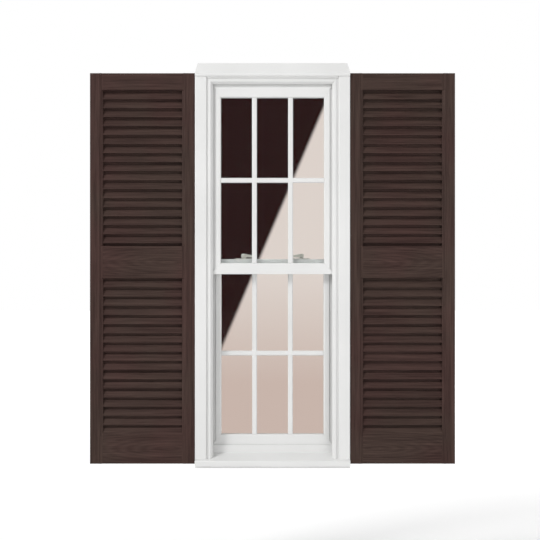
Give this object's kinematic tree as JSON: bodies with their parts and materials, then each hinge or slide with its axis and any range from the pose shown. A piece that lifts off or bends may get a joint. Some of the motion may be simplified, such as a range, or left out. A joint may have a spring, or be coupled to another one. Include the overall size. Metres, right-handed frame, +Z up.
{
  "type": "louvred shutters with window frame",
  "caption": "Dark moulded louvred shutters flanking a white double-hung window with divided panes; both sashes slide in the frame and cam locks turn on the check rail.",
  "frame": {"origin": "middle of the sill's underside, on the wall plane", "axes": "+Z up, -Y faces outdoors away from the wall, +X to the right seen from outdoors"},
  "size_m": [1.3056, 0.101, 1.451],
  "materials": {
    "brown_moulding": "satin moulded plastic with embossed wood grain",
    "white_vinyl": "smooth satin vinyl",
    "glass": "clear float glass",
    "lock_enamel": "white enamel",
    "steel": "zinc plated",
    "spacer_aluminium": "mill finish",
    "pile": "woven pile strip",
    "shoe_plastic": "moulded nylon"
  },
  "bodies": {
    "window_frame": {"left_shutter": "brown_moulding", "right_shutter": "brown_moulding", "left_casing": "white_vinyl", "right_casing": "white_vinyl", "head_cap": "white_vinyl", "frame_head": "white_vinyl", "frame_sill": "white_vinyl", "frame_left_jamb": "white_vinyl", "frame_right_jamb": "white_vinyl", "upper_left_balance": "steel", "upper_right_balance": "steel", "lower_left_balance": "steel", "lower_right_balance": "steel"},
    "upper_sash": {"upper_top_rail": "white_vinyl", "upper_check_rail": "white_vinyl", "upper_left_stile": "white_vinyl", "upper_right_stile": "white_vinyl", "upper_outer_pane": "glass", "upper_inner_pane": "glass", "upper_spacer": "spacer_aluminium", "upper_grille": "white_vinyl", "upper_seals": "pile", "upper_top_bead": "white_vinyl", "upper_bottom_bead": "white_vinyl", "upper_left_bead": "white_vinyl", "upper_right_bead": "white_vinyl", "upper_left_shoe": "shoe_plastic", "upper_right_shoe": "shoe_plastic", "upper_left_pivot_bar": "steel", "upper_right_pivot_bar": "steel", "left_keeper": "lock_enamel", "right_keeper": "lock_enamel", "keeper_screws": "steel"},
    "lower_sash": {"lower_check_rail": "white_vinyl", "lower_bottom_rail": "white_vinyl", "lower_left_stile": "white_vinyl", "lower_right_stile": "white_vinyl", "lower_outer_pane": "glass", "lower_inner_pane": "glass", "lower_spacer": "spacer_aluminium", "lower_grille": "white_vinyl", "lower_seals": "pile", "lower_top_bead": "white_vinyl", "lower_bottom_bead": "white_vinyl", "lower_left_bead": "white_vinyl", "lower_right_bead": "white_vinyl", "lower_left_shoe": "shoe_plastic", "lower_right_shoe": "shoe_plastic", "lower_left_pivot_bar": "steel", "lower_right_pivot_bar": "steel", "left_lock_base": "lock_enamel", "right_lock_base": "lock_enamel", "lock_screws": "steel"},
    "left_lock": {"left_lock_lever": "lock_enamel"},
    "right_lock": {"right_lock_lever": "lock_enamel"}
  },
  "joints": [
    {"name": "upper_sash_slide", "type": "slide", "parent": "window_frame", "child": "upper_sash", "axis": [0, 0, -1], "range_m": [0, 0.56]},
    {"name": "lower_sash_slide", "type": "slide", "parent": "window_frame", "child": "lower_sash", "axis": [0, 0, 1], "range_m": [0, 0.56]},
    {"name": "left_lock_turn", "type": "hinge", "parent": "lower_sash", "child": "left_lock", "pos_m": [-0.104, 0.0335, 0.7505], "axis": [0, 0, 1], "range_deg": [0, 180]},
    {"name": "right_lock_turn", "type": "hinge", "parent": "lower_sash", "child": "right_lock", "pos_m": [0.104, 0.0335, 0.7505], "axis": [0, 0, -1], "range_deg": [0, 180]}
  ]
}
